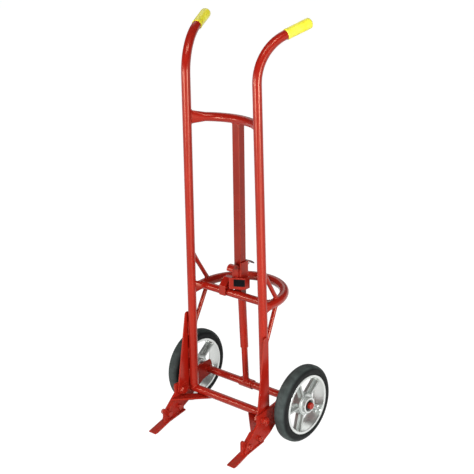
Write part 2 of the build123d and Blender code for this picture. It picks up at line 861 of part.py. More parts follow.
# Carriage sleeve: square tube that slides on the mast, lower at its front left, with two ears at the back
sleeve_inner = mast_side / 2 + slide_gap
sleeve_outer = sleeve_inner + sleeve_wall
sleeve_low = member_height + member_diameter / 2 + carriage_rest_gap
sleeve_top = sleeve_low + sleeve_height
sleeve_front = mast_y - sleeve_outer
sleeve_back = mast_y + sleeve_outer
lever_y = sleeve_back + ear_round / 2
lever_z = sleeve_top - ear_drop
lever_spot = (lever_y - axle_y, lever_z)
ear_inner = lever_width / 2 + turning_gap
nose_y = mast_y + mast_side / 2 + turning_gap
nose_swing = math.hypot(lever_y - nose_y, lever_nose_foot)
notch_low = lever_z - nose_swing - slide_gap
with BuildPart() as carriage_sleeve:
    with BuildSketch(Plane((0, mast_y, sleeve_low))):
        RectangleRounded(2 * sleeve_outer, 2 * sleeve_outer, sleeve_corner)
        RectangleRounded(2 * sleeve_inner, 2 * sleeve_inner, mast_corner, mode=Mode.SUBTRACT)
    extrude(amount=sleeve_height)
    with BuildSketch(side_plane(ear_inner)):
        with Locations(lever_spot):
            Circle(ear_round / 2)
        with Locations((sleeve_back - sleeve_wall / 2 - axle_y, lever_z)):
            Rectangle(ear_round / 2 + sleeve_wall / 2, ear_round, align=(Align.MIN, Align.CENTER))
    extrude(amount=ear_thickness)
    mirror(about=Plane.YZ)
    with BuildSketch(Plane((sleeve_inner, mast_y, sleeve_top))):
        Rectangle(3 * sleeve_outer, 2 * sleeve_outer, align=(Align.MAX, Align.MAX))
    extrude(amount=-sleeve_front_drop, mode=Mode.SUBTRACT)
    with BuildSketch(Plane((0, sleeve_back - sleeve_wall / 2, notch_low))):
        Rectangle(2 * ear_inner, 2 * sleeve_wall)
    extrude(amount=sleeve_height, mode=Mode.SUBTRACT)
    with BuildSketch(side_plane(0)):
        with Locations(lever_spot):
            Circle(lever_pin_diameter / 2 + press_gap)
    extrude(amount=2 * sleeve_outer, both=True, mode=Mode.SUBTRACT)
save(carriage_sleeve.part, "carriage_sleeve")

# Release lever: hub on the pin, a nose that bears on the mast, a tail that curves back and down
hub_radius = lever_hub_diameter / 2
with BuildPart() as release_lever:
    with BuildSketch(Plane((0, lever_y, lever_z), x_dir=(0, 1, 0), z_dir=(1, 0, 0))):
        with BuildLine():
            tail_top = ThreePointArc(
                (0, hub_radius),
                (lever_bow_reach, hub_radius - lever_bow_sag),
                (lever_reach, hub_radius - lever_sag),
            )
            offset(tail_top, amount=lever_thickness, side=Side.RIGHT, closed=True)
        make_face()
        Circle(hub_radius)
        with BuildLine():
            Polyline(
                (0, hub_radius),
                (nose_y - lever_y, -lever_nose_top),
                (nose_y - lever_y, -lever_nose_foot),
                (0, -hub_radius),
                close=True,
            )
        make_face()
        Circle(lever_pin_diameter / 2 + running_gap, mode=Mode.SUBTRACT)
    extrude(amount=lever_width / 2, both=True)
save(release_lever.part, "release_lever")

pin_outer = ear_inner + ear_thickness + weld_gap
with BuildPart() as lever_pin:
    with BuildSketch(side_plane(0)):
        with Locations(lever_spot):
            Circle(lever_pin_diameter / 2)
    extrude(amount=pin_outer, both=True)
    for start in (pin_outer, -pin_outer - lever_pin_head_height):
        with BuildSketch(side_plane(start)):
            with Locations(lever_spot):
                Circle(lever_pin_head / 2)
        extrude(amount=lever_pin_head_height)
save(lever_pin.part, "lever_pin")

# Chime hook: strip up the front of the sleeve, curled forward and down at the top
shank_back = sleeve_front - weld_gap
shank_low = sleeve_low + hook_shank_foot
shank_top = shank_low + hook_shank
curl_outer = hook_curl_radius + hook_thickness / 2
curl_inner = hook_curl_radius - hook_thickness / 2
curl_y = shank_back - curl_outer
housing_low = sleeve_low + housing_rise
with BuildPart() as chime_hook:
    with BuildSketch(side_plane(0)):
        with Locations((curl_y - axle_y, shank_top)):
            Circle(curl_outer)
            Circle(curl_inner, mode=Mode.SUBTRACT)
            Rectangle(3 * curl_outer, 2 * curl_outer, align=(Align.CENTER, Align.MAX), mode=Mode.SUBTRACT)
        with Locations((shank_back - axle_y, shank_low)):
            Rectangle(hook_thickness, hook_shank, align=(Align.MAX, Align.MIN))
        with Locations((curl_y - curl_outer - axle_y, shank_top)):
            Rectangle(hook_thickness, hook_tip, align=(Align.MIN, Align.MAX))
    extrude(amount=hook_width / 2, both=True)
save(chime_hook.part, "chime_hook")

# Latch housing: block round the front right corner of the sleeve, with a slanted face
housing_back = shank_back - hook_thickness - cover_gap
housing_side = sleeve_outer + weld_gap
housing_outer = housing_side + housing_right
shank_side = hook_width / 2 + cover_gap
slant_rise = math.tan(math.radians(housing_slant))
slant_from = Vector(
    shank_side - (housing_front - housing_cover) / slant_rise,
    housing_back - housing_front,
)
slant_to = Vector(housing_outer, housing_back - housing_cover + (housing_outer - shank_side) * slant_rise)
with BuildPart() as latch_housing:
    with BuildSketch(Plane((0, 0, housing_low))):
        with BuildLine():
            Polyline(
                (-housing_left, housing_back),
                (-housing_left, housing_back - housing_front),
                slant_from,
                slant_to,
                (housing_outer, housing_back + housing_depth),
                (housing_side, housing_back + housing_depth),
                (housing_side, shank_back),
                (shank_side, shank_back),
                (shank_side, housing_back),
                close=True,
            )
        make_face()
    extrude(amount=housing_height)
    fillet(latch_housing.edges().filter_by(Axis.Z).group_by(Axis.X)[-1], radius=housing_edge)
save(latch_housing.part, "latch_housing")

# Name plate on the slanted face, left bare
slant = slant_to - slant_from
slant_out = Vector(slant.Y, -slant.X).normalized()
slant_middle = (slant_from + slant_to) / 2 + Vector(0, 0, housing_low + housing_height / 2)
with BuildPart() as name_plate:
    with BuildSketch(Plane(slant_middle + slant_out * weld_gap, x_dir=slant, z_dir=slant_out)):
        with Locations((name_plate_shift, name_plate_rise)):
            RectangleRounded(name_plate_width, name_plate_height, name_plate_corner)
    extrude(amount=name_plate_thickness)
save(name_plate.part, "name_plate")

# Apron: block on the left of the sleeve that slopes forward and hangs over the front of the cross member
apron_right = apron_width - apron_left
apron_top = sleeve_low + apron_top_rise
member_front = member_y - member_diameter / 2 - apron_gap
member_top = member_height + member_diameter / 2 + apron_gap
skirt_front = member_front - apron_thickness
skirt_low = apron_top - apron_slope_drop - apron_skirt
with BuildPart() as carriage_apron:
    with BuildSketch(Plane((-apron_left, 0, 0), x_dir=(0, 1, 0), z_dir=(1, 0, 0))):
        with BuildLine():
            Polyline(
                (sleeve_front + apron_root, apron_top),
                (sleeve_front, apron_top),
                (skirt_front, apron_top - apron_slope_drop),
                (skirt_front, skirt_low),
                (member_front, skirt_low),
                (member_front, member_top),
                (sleeve_front + apron_root, member_top),
                close=True,
            )
        make_face()
    extrude(amount=apron_width)
    with BuildSketch(Plane((apron_right, sleeve_front, apron_top))):
        Rectangle(
            -sleeve_outer - weld_gap - apron_right,
            apron_root,
            align=(Align.MIN, Align.MIN),
        )
    extrude(amount=member_top - apron_top)
save(carriage_apron.part, "carriage_apron")
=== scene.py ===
import json
import math

import bmesh
import bpy
from mathutils import Matrix, Vector, noise

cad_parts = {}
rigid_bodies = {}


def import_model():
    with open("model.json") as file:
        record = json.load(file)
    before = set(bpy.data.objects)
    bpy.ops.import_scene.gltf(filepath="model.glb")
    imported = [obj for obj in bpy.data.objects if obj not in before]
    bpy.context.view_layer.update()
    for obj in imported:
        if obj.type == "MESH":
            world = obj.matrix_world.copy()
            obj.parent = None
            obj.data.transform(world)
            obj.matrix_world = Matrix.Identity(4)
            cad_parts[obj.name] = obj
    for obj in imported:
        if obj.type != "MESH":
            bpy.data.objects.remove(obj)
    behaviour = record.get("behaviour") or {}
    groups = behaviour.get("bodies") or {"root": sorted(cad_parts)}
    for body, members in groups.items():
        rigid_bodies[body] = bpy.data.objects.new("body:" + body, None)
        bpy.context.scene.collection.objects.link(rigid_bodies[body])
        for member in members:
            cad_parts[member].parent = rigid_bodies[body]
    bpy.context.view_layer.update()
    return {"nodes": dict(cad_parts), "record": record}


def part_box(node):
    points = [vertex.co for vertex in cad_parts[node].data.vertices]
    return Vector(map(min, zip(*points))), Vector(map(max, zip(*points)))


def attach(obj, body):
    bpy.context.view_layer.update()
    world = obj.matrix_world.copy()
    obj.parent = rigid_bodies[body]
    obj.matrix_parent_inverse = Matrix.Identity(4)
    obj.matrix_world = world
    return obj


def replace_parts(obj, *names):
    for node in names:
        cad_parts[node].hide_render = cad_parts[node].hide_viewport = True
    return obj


for thing in list(bpy.data.objects):
    bpy.data.objects.remove(thing, do_unlink=True)
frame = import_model()

MM = 0.001

# Sizes that the CAD model has too, in millimetres
AXLE_Y = 79.0
AXLE_Z = 127.0
AXLE_R = 12.7
BAR_Z = 98.0
BAR_R = 13.35
BEND_Z = 1264.0
RAIL_R = 14.3
RAIL_HALF = (153.5, 139.5)
RAIL_LEAD = (93.4, 107.0)
HANDLE_LENGTH = 188.0
HANDLE_FLARE = math.radians(20.8)
HANDLE_RISE = math.radians(18.8)
RING_Z = 459.5
RING_R = 15.0
RING_HALF = 145.0
RING_BACK = 110.0
RING_TILT = math.radians(1.95)
RING_PRESS = (4.5, 23.0)
BRACE_R = 7.0
# Rise from the ring to the rail end, lead of the ring end, half sizes of the rail end
BRACES = ((132.0, 17.0, (4.5, 9.5)), (-145.5, 23.0, (BRACE_R, BRACE_R)))
MEMBER_R = 12.7
MEMBER_Y = 24.1
MEMBER_Z = 462.0
UPPER_Z = 1029.0
UPPER_R = 14.3
UPPER_LEAD = 34.0
UPPER_PRESS = (4.5, 21.5)
MAST_Y = 51.0
MAST_HALF = 14.0
MAST_FOOT_Z = 449.3
STUB_R = 10.3
STUB_LEAD = 5.0
LOWER_LEAD = 21.5
LOWER_R = 13.35
LOWER_END_Z = 263.0
SADDLE_R = 16.0
SADDLE_HALF = 26.0
GRIP_R = 16.75
GRIP_LENGTH = 83.0
GRIP_DOME = 9.0
TYRE_R = 127.0


def span(node, axis):
    """Least and greatest coordinate of a CAD node, in millimetres."""
    low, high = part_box(node)
    return low[axis] / MM, high[axis] / MM


PLATE_INNER, PLATE_OUTER = span("foot_plate_right", 0)
WHEEL_X = sum(span("wheel_hub_right", 0)) / 2


# Small tools

def point(x, y, z):
    """A point given in millimetres."""
    return Vector((x * MM, y * MM, z * MM))


def rail_point(height, side=1):
    """Point of a rail's centre line at a height; side is 1 on the right and -1 on the left."""
    share = (height - BAR_Z) / (BEND_Z - BAR_Z)
    half = RAIL_HALF[0] + (RAIL_HALF[1] - RAIL_HALF[0]) * share
    lead = RAIL_LEAD[0] + (RAIL_LEAD[1] - RAIL_LEAD[0]) * share
    return Vector((side * half, AXLE_Y - lead, height))


def rail_line(side):
    """A point of a rail's centre line and its direction."""
    low = rail_point(BAR_Z, side)
    return low, (rail_point(BEND_Z, side) - low).normalized()


def across(direction):
    """Two unit vectors square to a direction and to each other."""
    helper = Vector((0, 0, 1)) if abs(direction.z) < 0.9 else Vector((1, 0, 0))
    first = direction.cross(helper).normalized()
    return first, direction.cross(first).normalized()


# Ripple of the weld beads: length of a ripple, shares of the radius, and how an open end thins out
BEAD_PITCH = 3.2
BEAD_RIPPLE = 0.09
BEAD_UNEVEN = 0.22
BEAD_NOISE_SCALE = 0.11
BEAD_END_STEPS = 4
BEAD_END_SHARE = 0.05


class Shape:
    """Vertices and faces that grow piece by piece; lengths in millimetres."""

    def __init__(self):
        self.verts = []
        self.faces = []
        self.kinds = []

    def add(self, verts, faces, kind=0):
        base = len(self.verts)
        self.verts += [Vector(v) * MM for v in verts]
        self.faces += [[base + i for i in face] for face in faces]
        self.kinds += [kind] * len(faces)

    def lathe(self, profile, origin, axis, steps=96, closed=False, kind=0):
        """Turn (along, radius) points round an axis."""
        axis = Vector(axis).normalized()
        first, second = across(axis)
        verts = []
        rows = []
        for along, radius in profile:
            centre = Vector(origin) + axis * along
            if radius < 1e-6:
                rows.append([len(verts)] * steps)
                verts.append(centre)
                continue
            rows.append(list(range(len(verts), len(verts) + steps)))
            for k in range(steps):
                turn = 2 * math.pi * k / steps
                verts.append(centre + (first * math.cos(turn) + second * math.sin(turn)) * radius)
        faces = []
        pairs = list(zip(rows, rows[1:]))
        if closed:
            pairs.append((rows[-1], rows[0]))
        for low, high in pairs:
            for k in range(steps):
                m = (k + 1) % steps
                corners = [low[k], low[m], high[m], high[k]]
                kept = [c for n, c in enumerate(corners) if c != corners[n - 1]]
                if len(kept) > 2:
                    faces.append(kept)
        self.add(verts, faces, kind)

    def rod(self, path, radius_at, closed, sides=10):
        """Round rod along a path; radius_at gives the radius at each point."""
        path = [Vector(p) for p in path]
        count = len(path)
        verts = []
        normal = None
        for k in range(count):
            if closed:
                run = path[(k + 1) % count] - path[k - 1]
            else:
                run = path[min(k + 1, count - 1)] - path[max(k - 1, 0)]
            run.normalize()
            if normal is None:
                normal = across(run)[0]
            normal = (normal - run * normal.dot(run)).normalized()
            side = run.cross(normal)
            radius = radius_at(k)
            for n in range(sides):
                turn = 2 * math.pi * n / sides
                verts.append(path[k] + (normal * math.cos(turn) + side * math.sin(turn)) * radius)
        faces = []
        for k in range(count if closed else count - 1):
            low = k * sides
            high = ((k + 1) % count) * sides
            for n in range(sides):
                m = (n + 1) % sides
                faces.append([low + n, low + m, high + m, high + n])
        if not closed:
            faces.append(list(range(sides))[::-1])
            faces.append([(count - 1) * sides + n for n in range(sides)])
        self.add(verts, faces)

    def bead(self, path, radius, closed=True):
        """Weld bead: a rippled rod that thins out at open ends."""
        path = [Vector(p) for p in path]
        count = len(path)
        seed = path[0] * 0.37
        length = sum((path[k] - path[k - 1]).length for k in range(1, count))
        step = length / max(1, count - 1)

        def radius_at(k):
            uneven = noise.noise(path[k] * BEAD_NOISE_SCALE + seed)
            ripple = math.sin(2 * math.pi * k * step / BEAD_PITCH)
            end = 1.0
            if not closed:
                end = min(1.0, math.sqrt(min(k, count - 1 - k) / BEAD_END_STEPS + BEAD_END_SHARE))
            return radius * (1 + BEAD_RIPPLE * ripple + BEAD_UNEVEN * uneven) * end

        self.rod(path, radius_at, closed)

    def piece(self, name, body, slot, materials, smooth=35.0):
        """Visible piece of this shape, with edges sharper than an angle in degrees kept sharp."""
        mesh = bpy.data.meshes.new(name)
        mesh.from_pydata([tuple(v) for v in self.verts], [], self.faces)
        for mat in materials:
            mesh.materials.append(mat)
        mesh.polygons.foreach_set("material_index", self.kinds)
        piece = place(mesh, name, body)
        tidy_normals(mesh, smooth)
        return piece


def place(mesh, name, body):
    """Object of a mesh that rides on a body."""
    piece = bpy.data.objects.new(name, mesh)
    bpy.context.scene.collection.objects.link(piece)
    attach(piece, body)
    return piece


def tidy_normals(mesh, smooth):
    """Faces turned outward and shaded smooth, apart from sharp edges."""
    work = bmesh.new()
    work.from_mesh(mesh)
    bmesh.ops.recalc_face_normals(work, faces=work.faces)
    work.to_mesh(mesh)
    work.free()
    mesh.shade_smooth()
    mesh.set_sharp_from_angle(angle=math.radians(smooth))


def straight(start, end, step=0.8):
    """Points about one step apart from start to end."""
    parts = max(1, round((end - start).length / step))
    return [start.lerp(end, k / parts) for k in range(parts)] + [end]


def saddle(origin, direction, radius, on_point, on_direction, on_radius, steps=96):
    """Closed line where a tube, going off along direction, meets a round tube; radius may be a pair."""
    wide, high = radius if isinstance(radius, tuple) else (radius, radius)
    direction = Vector(direction).normalized()
    on_direction = Vector(on_direction).normalized()
    first, second = across(direction)
    flat = direction - on_direction * direction.dot(on_direction)
    line = []
    for k in range(steps):
        turn = 2 * math.pi * k / steps
        start = Vector(origin) + first * math.cos(turn) * wide + second * math.sin(turn) * high
        gap = start - Vector(on_point)
        gap -= on_direction * gap.dot(on_direction)
        half = gap.dot(flat)
        rest = half * half - flat.length_squared * (gap.length_squared - on_radius**2)
        line.append(start + direction * ((math.sqrt(max(rest, 0)) - half) / flat.length_squared))
    return line


def circle_line(centre, axis, radius, steps=90):
    """Closed line round an axis."""
    first, second = across(Vector(axis).normalized())
    turns = [2 * math.pi * k / steps for k in range(steps)]
    return [Vector(centre) + (first * math.cos(t) + second * math.sin(t)) * radius for t in turns]


def mirrored(line):
    """The same line on the other side of the truck."""
    return [Vector((-p.x, p.y, p.z)) for p in line]


# Materials

class Look:
    """A material whose nodes are added one line at a time."""

    def __init__(self, name, **sockets):
        self.mat = bpy.data.materials.new(name)
        self.mat.use_nodes = True
        self.tree = self.mat.node_tree
        self.tree.nodes.clear()
        out = self.tree.nodes.new("ShaderNodeOutputMaterial")
        self.bsdf = self.tree.nodes.new("ShaderNodeBsdfPrincipled")
        self.tree.links.new(self.bsdf.outputs[0], out.inputs[0])
        for key, value in sockets.items():
            self.bsdf.inputs[key.replace("_", " ")].default_value = value
        self.coords = self.tree.nodes.new("ShaderNodeTexCoord").outputs["Object"]

    def node(self, kind, inputs=(), **settings):
        """A node with its inputs linked to sockets or set to values."""
        made = self.tree.nodes.new(kind)
        for key, value in settings.items():
            setattr(made, key, value)
        for key, value in dict(inputs).items():
            if isinstance(value, bpy.types.NodeSocket):
                self.tree.links.new(value, made.inputs[key])
            else:
                made.inputs[key].default_value = value
        return made

    def math(self, operation, first, second=0.0):
        made = self.node("ShaderNodeMath", {0: first, 1: second}, operation=operation)
        return made.outputs[0]

    def noise(self, scale, detail=4.0, rough=0.55, stretch=None):
        coords = self.coords
        if stretch:
            mapping = self.node("ShaderNodeMapping", {"Vector": coords, "Scale": stretch})
            coords = mapping.outputs[0]
        made = self.node(
            "ShaderNodeTexNoise",
            {"Vector": coords, "Scale": scale, "Detail": detail, "Roughness": rough},
        )
        return made.outputs["Fac"]

    def spread(self, value, low, high, to_low=0.0, to_high=1.0):
        """Range from low to high spread over another range, and held at its ends."""
        made = self.node(
            "ShaderNodeMapRange",
            {"Value": value, "From Min": low, "From Max": high, "To Min": to_low, "To Max": to_high},
        )
        return made.outputs[0]

    def mix(self, share, first, second):
        """Colour that goes from the first to the second as share goes from 0 to 1."""
        made = self.node("ShaderNodeMix", data_type="RGBA")
        for socket, value in ((made.inputs[0], share), (made.inputs[6], first), (made.inputs[7], second)):
            if isinstance(value, bpy.types.NodeSocket):
                self.tree.links.new(value, socket)
            else:
                socket.default_value = value if socket == made.inputs[0] else (*value, 1.0)
        return made.outputs[2]

    def edges(self, size):
        """1 on outside edges, 0 on flats."""
        soft = self.node("ShaderNodeBevel", {"Radius": size}, samples=4).outputs[0]
        hard = self.node("ShaderNodeNewGeometry").outputs["Normal"]
        turn = self.node("ShaderNodeVectorMath", {0: soft, 1: hard}, operation="DOT_PRODUCT").outputs["Value"]
        return self.spread(turn, 0.995, 0.90)

    def from_axle(self):
        """Distance from the wheels' axis, in metres."""
        parts = self.node("ShaderNodeSeparateXYZ", {0: self.coords})
        across_y = self.math("SUBTRACT", parts.outputs[1], AXLE_Y * MM)
        across_z = self.math("SUBTRACT", parts.outputs[2], AXLE_Z * MM)
        squares = self.math("ADD", self.math("MULTIPLY", across_y, across_y),
                            self.math("MULTIPLY", across_z, across_z))
        return self.math("SQRT", squares)

    def link(self, socket, value):
        self.tree.links.new(value, self.bsdf.inputs[socket])

    def bump(self, height, strength, distance, after=None):
        inputs = {"Height": height, "Strength": strength, "Distance": distance}
        if after:
            inputs["Normal"] = after
        return self.node("ShaderNodeBump", inputs).outputs[0]


# Colours of the enamel where it is specked, dirty, lighter at an edge from thin paint and a painted
# highlight, or worn off
SPECK_RED = (0.27, 0.010, 0.005)
GRIME_BROWN = (0.17, 0.055, 0.036)
THIN_EDGE_AND_HIGHLIGHT_RED = (0.50, 0.046, 0.022)
WORN_METAL = (0.30, 0.26, 0.24)
# Tint of the enamel's shine
WARM_SHINE = (1.0, 0.64, 0.46, 1.0)
# Heights in metres where grime starts, and where scuffs start and are full
GRIME_TOP = 0.16
SCUFF_TOP = 0.05
SCUFF_FULL = 0.008


def red_enamel(name, pale, deep, level=0.50):
    """Sprayed gloss enamel: orange peel, edges lighter from thin paint and a painted highlight, grime and
    scuffs near the floor.
    """
    look = Look(name, Specular_IOR_Level=level)
    look.bsdf.inputs["Specular Tint"].default_value = WARM_SHINE
    cloud = look.spread(look.noise(9.0, 3.0), 0.35, 0.68)
    colour = look.mix(cloud, deep, pale)
    speck = look.spread(look.noise(420.0, 2.0), 0.66, 0.74)
    colour = look.mix(look.math("MULTIPLY", speck, 0.25), colour, SPECK_RED)
    height = look.node("ShaderNodeSeparateXYZ", {0: look.coords}).outputs[2]
    low = look.spread(height, GRIME_TOP, 0.0)
    grime = look.math("MULTIPLY", look.spread(look.noise(55.0, 6.0), 0.46, 0.66), low)
    colour = look.mix(look.math("MULTIPLY", grime, 0.35), colour, GRIME_BROWN)
    rim = look.edges(0.0016)
    chip = look.math("MULTIPLY", rim, look.spread(look.noise(160.0, 5.0), 0.50, 0.60))
    # Outside edges lighter: thin paint there, and a painted highlight.
    colour = look.mix(look.math("MULTIPLY", rim, 0.35), colour, THIN_EDGE_AND_HIGHLIGHT_RED)
    scuff = look.spread(height, SCUFF_TOP, SCUFF_FULL)
    worn = look.math("MULTIPLY", chip, look.math("ADD", look.math("MULTIPLY", scuff, 0.55), 0.10))
    colour = look.mix(worn, colour, WORN_METAL)
    look.link("Base Color", colour)
    gloss = look.spread(look.noise(38.0, 5.0), 0.3, 0.7, 0.20, 0.28)
    look.link("Roughness", look.math("ADD", gloss, look.math("MULTIPLY", grime, 0.25)))
    peel = look.bump(look.noise(420.0, 2.0, 0.4), 0.05, 0.0006)
    look.link("Normal", look.bump(look.noise(45.0, 2.0), 0.05, 0.0015, peel))
    return look.mat


VINYL_DEEP = (0.92, 0.82, 0.040)
VINYL_PALE = (0.95, 0.89, 0.090)
VINYL_SOIL = (0.62, 0.46, 0.05)


def yellow_vinyl():
    """Soft dipped sleeve: satin, a little uneven, faintly soiled."""
    look = Look("yellow_vinyl", Subsurface_Weight=0.12, Subsurface_Scale=0.004, Specular_IOR_Level=0.4)
    look.bsdf.inputs["Subsurface Radius"].default_value = (1.0, 0.8, 0.2)
    cloud = look.spread(look.noise(28.0, 4.0), 0.35, 0.65)
    colour = look.mix(cloud, VINYL_DEEP, VINYL_PALE)
    soil = look.spread(look.noise(70.0, 6.0), 0.60, 0.80)
    colour = look.mix(look.math("MULTIPLY", soil, 0.10), colour, VINYL_SOIL)
    look.link("Base Color", colour)
    look.link("Roughness", look.spread(look.noise(60.0, 4.0), 0.3, 0.7, 0.24, 0.38))
    grain = look.bump(look.noise(900.0, 2.0), 0.10, 0.0003)
    look.link("Normal", look.bump(look.noise(90.0, 3.0), 0.05, 0.0012, grain))
    return look.mat


# Radii where the tread turns lighter, dusty and with a painted sheen, and of the turned faces of the wheels,
# and the pitch of the turning marks
TREAD_START_R = TYRE_R - 10.5
TREAD_FULL_R = TYRE_R - 4.5
LIP_START_R = 88.5
LIP_FULL_R = 89.5
BOSS_START_R = 30.0
BOSS_FULL_R = 28.8
TURNING_PITCH = 0.9
RUBBER_DEEP = (0.006, 0.007, 0.007)
RUBBER_PALE = (0.012, 0.013, 0.013)
TREAD_DUST_AND_SHEEN = (0.070, 0.086, 0.082)
CAST_DEEP = (0.38, 0.405, 0.39)
CAST_PALE = (0.52, 0.545, 0.525)
TURNED_METAL = (0.70, 0.72, 0.70)


def tyre_rubber():
    """Moulded grey-black rubber; the tread lighter grey, dusty and with a painted sheen."""
    look = Look("tyre_rubber", Specular_IOR_Level=0.12)
    radius = look.from_axle()
    cloud = look.spread(look.noise(30.0, 5.0), 0.32, 0.68)
    colour = look.mix(cloud, RUBBER_DEEP, RUBBER_PALE)
    blotch = look.noise(34.0, 8.0, 0.62)
    tread = look.spread(radius, TREAD_START_R * MM, TREAD_FULL_R * MM)
    # Tread lighter grey in blotches: dusty, and a painted sheen of the light falling on it.
    dust_and_sheen = look.math("MULTIPLY", look.spread(blotch, 0.32, 0.68, 0.35, 0.95), tread)
    colour = look.mix(dust_and_sheen, colour, TREAD_DUST_AND_SHEEN)
    look.link("Base Color", colour)
    look.link("Roughness", look.spread(look.noise(80.0, 4.0), 0.3, 0.7, 0.46, 0.66))
    grain = look.bump(look.noise(700.0, 3.0), 0.22, 0.0004)
    look.link("Normal", look.bump(look.noise(40.0, 4.0, stretch=(6.0, 1.0, 1.0)), 0.10, 0.001, grain))
    return look.mat


def cast_aluminium():
    """Sand-cast metal with turned lips and boss faces."""
    look = Look("cast_aluminium", Metallic=0.78)
    radius = look.from_axle()
    lip = look.spread(radius, LIP_START_R * MM, LIP_FULL_R * MM)
    boss = look.spread(radius, BOSS_START_R * MM, BOSS_FULL_R * MM)
    turned = look.math("MAXIMUM", lip, boss)
    cloud = look.spread(look.noise(40.0, 6.0), 0.33, 0.67)
    cast = look.mix(cloud, CAST_DEEP, CAST_PALE)
    look.link("Base Color", look.mix(turned, cast, TURNED_METAL))
    rough = look.spread(look.noise(120.0, 5.0), 0.3, 0.7, 0.36, 0.50)
    look.link("Roughness", look.math("SUBTRACT", rough, look.math("MULTIPLY", turned, 0.10)))
    groove = look.math("SINE", look.math("MULTIPLY", radius, 2 * math.pi / (TURNING_PITCH * MM)))
    groove = look.math("MULTIPLY", groove, turned)
    grain = look.bump(look.noise(520.0, 4.0), 0.16, 0.0004)
    look.link("Normal", look.bump(groove, 0.08, 0.00012, grain))
    return look.mat


def plated_steel(name, pale, dark, rough):
    """Plain or blackened hardware with fine turning marks."""
    look = Look(name, Metallic=1.0)
    cloud = look.spread(look.noise(90.0, 5.0), 0.35, 0.65)
    look.link("Base Color", look.mix(cloud, dark, pale))
    look.link("Roughness", look.spread(look.noise(200.0, 4.0), 0.3, 0.7, rough, rough + 0.16))
    look.link("Normal", look.bump(look.noise(900.0, 3.0), 0.12, 0.0002))
    return look.mat


RUBBED_GREY = (0.14, 0.13, 0.13)


def dark_satin(name, pale, dark, rough, grain_scale, shine=0.20):
    """Black paint or moulded plastic with a fine grain and rubbed edges."""
    look = Look(name, Specular_IOR_Level=shine)
    cloud = look.spread(look.noise(60.0, 4.0), 0.35, 0.65)
    colour = look.mix(cloud, dark, pale)
    rubbed = look.math("MULTIPLY", look.edges(0.0008), look.spread(look.noise(300.0, 4.0), 0.42, 0.58))
    look.link("Base Color", look.mix(look.math("MULTIPLY", rubbed, 0.5), colour, RUBBED_GREY))
    look.link("Roughness", look.spread(look.noise(150.0, 4.0), 0.3, 0.7, rough, rough + 0.15))
    look.link("Normal", look.bump(look.noise(grain_scale, 2.0), 0.14, 0.0003))
    return look.mat


RED = red_enamel("red_enamel", (0.37, 0.013, 0.006), (0.32, 0.009, 0.004))
# Darker copy of the red enamel, used on the mast: painted shade, the same paint as the rest.
MAST_SHADE_RED = red_enamel("mast_shade_red_enamel", (0.26, 0.009, 0.005), (0.22, 0.006, 0.003))
FOOT_RED = red_enamel("foot_red_enamel", (0.37, 0.017, 0.009), (0.32, 0.012, 0.006), level=0.14)
YELLOW = yellow_vinyl()
RUBBER = tyre_rubber()
ALUMINIUM = cast_aluminium()
STEEL = plated_steel("plated_steel", (0.58, 0.57, 0.55), (0.42, 0.41, 0.39), 0.26)
BLACK_STEEL = plated_steel("black_steel", (0.075, 0.075, 0.075), (0.035, 0.035, 0.036), 0.36)
LEVER_BLACK = dark_satin("lever_black", (0.040, 0.010, 0.013), (0.020, 0.006, 0.009), 0.30, 700.0)
PLATE_BLACK = dark_satin("plate_black", (0.004, 0.004, 0.005), (0.002, 0.002, 0.003), 0.42, 1100.0, 0.06)
SEAL_BLACK = dark_satin("seal_black", (0.020, 0.020, 0.020), (0.010, 0.010, 0.010), 0.50, 900.0)

SLOT_LOOKS = {
    "red_paint": RED,
    "yellow_grip": YELLOW,
    "tyre_rubber": RUBBER,
    "cast_aluminium": ALUMINIUM,
    "bare_steel": STEEL,
    "black_steel": BLACK_STEEL,
    "black_paint": LEVER_BLACK,
    "black_plate": PLATE_BLACK,
}
# The mast gets the darker copy of the enamel as painted shade.
NODE_LOOKS = {"mast": MAST_SHADE_RED}
for kind in ("foot_plate", "toe", "gusset"):
    NODE_LOOKS[kind + "_left"] = NODE_LOOKS[kind + "_right"] = FOOT_RED
node_slot = {row["node"]: row["material_slot"] for row in frame["record"]["subparts"]}
for name, node in frame["nodes"].items():
    node.data.materials.clear()
    node.data.materials.append(NODE_LOOKS.get(name, SLOT_LOOKS[node_slot[name]]))
body_of = {n: body for body, members in frame["record"]["behaviour"]["bodies"].items() for n in members}


# Plates, castings and the carriage: the CAD shapes with their edges rounded

BEVEL_SEGMENTS = 2
BEVEL_ANGLE = math.radians(28.0)
FLAT_ANGLE = math.radians(0.5)
SAME_SPOT = 2e-6
NORMAL_WEIGHT = 80


def rounded(node, size):
    """A copy of a CAD node, in its place, with its edges rounded off."""
    mesh = bpy.data.meshes.new(node + "_rounded")
    work = bmesh.new()
    work.from_mesh(frame["nodes"][node].data)
    bmesh.ops.remove_doubles(work, verts=work.verts, dist=SAME_SPOT)
    bmesh.ops.dissolve_limit(work, angle_limit=FLAT_ANGLE, verts=work.verts, edges=work.edges)
    sharp = [e for e in work.edges if e.is_manifold and e.calc_face_angle(0) > BEVEL_ANGLE]
    bmesh.ops.bevel(work, geom=sharp, offset=size * MM, offset_type="OFFSET", segments=BEVEL_SEGMENTS,
                    profile=0.5, affect="EDGES", clamp_overlap=False)
    bmesh.ops.recalc_face_normals(work, faces=work.faces)
    work.to_mesh(mesh)
    work.free()
    mesh.materials.append(frame["nodes"][node].data.materials[0])
    piece = place(mesh, node + "_rounded", body_of[node])
    mesh.shade_smooth()
    weighted = piece.modifiers.new("weighted", "WEIGHTED_NORMAL")
    weighted.keep_sharp = False
    weighted.weight = NORMAL_WEIGHT
    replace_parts(piece, node)


